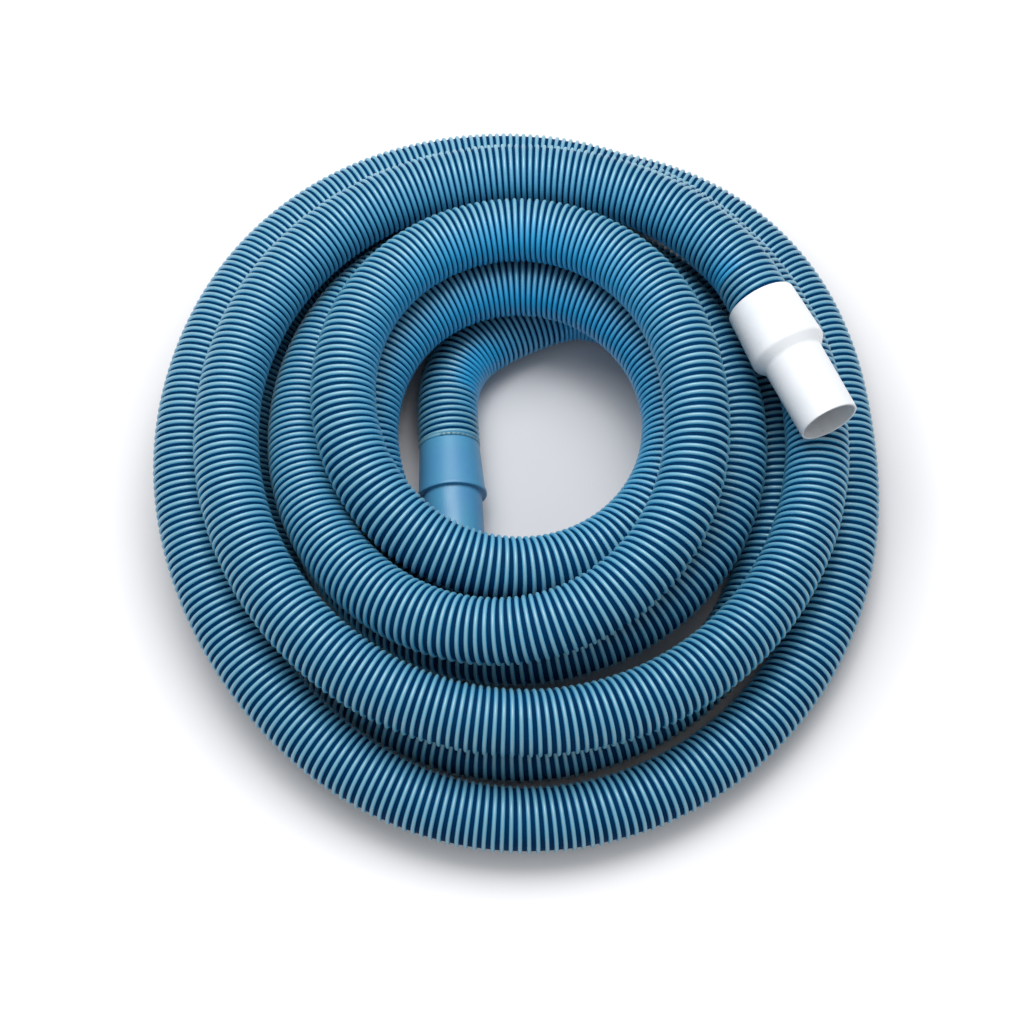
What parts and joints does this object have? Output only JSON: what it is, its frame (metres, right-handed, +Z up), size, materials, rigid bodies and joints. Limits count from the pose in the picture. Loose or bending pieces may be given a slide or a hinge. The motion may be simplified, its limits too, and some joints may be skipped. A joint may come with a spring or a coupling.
{
  "type": "pool vacuum hose",
  "caption": "Coiled spiral-wound suction hose for a pool or spa, with a swivelling cuff on one end and a fixed cuff on the other.",
  "frame": {"origin": "middle of the coil's outer box, on the floor it lies on", "axes": "+Z up from the floor, +Y towards the back of the coil as pictured, +X to the right"},
  "size_m": [0.521, 0.564, 0.1445],
  "materials": {
    "hose": "light blue spiral bead over a dark blue wall, satin",
    "white_plastic": "smooth white moulded plastic",
    "blue_plastic": "smooth mid blue moulded plastic"
  },
  "bodies": {
    "hose": {"hose": "hose", "swivel_collar": "white_plastic", "fixed_cuff": "blue_plastic"},
    "swivel_cuff": {"swivel_cuff": "white_plastic"}
  },
  "joints": [
    {"name": "swivel_turn", "type": "hinge", "parent": "hose", "child": "swivel_cuff", "pos_m": [0.1663, 0.0838, 0.104], "axis": [0.4067, -0.9135, 0], "continuous": true}
  ]
}
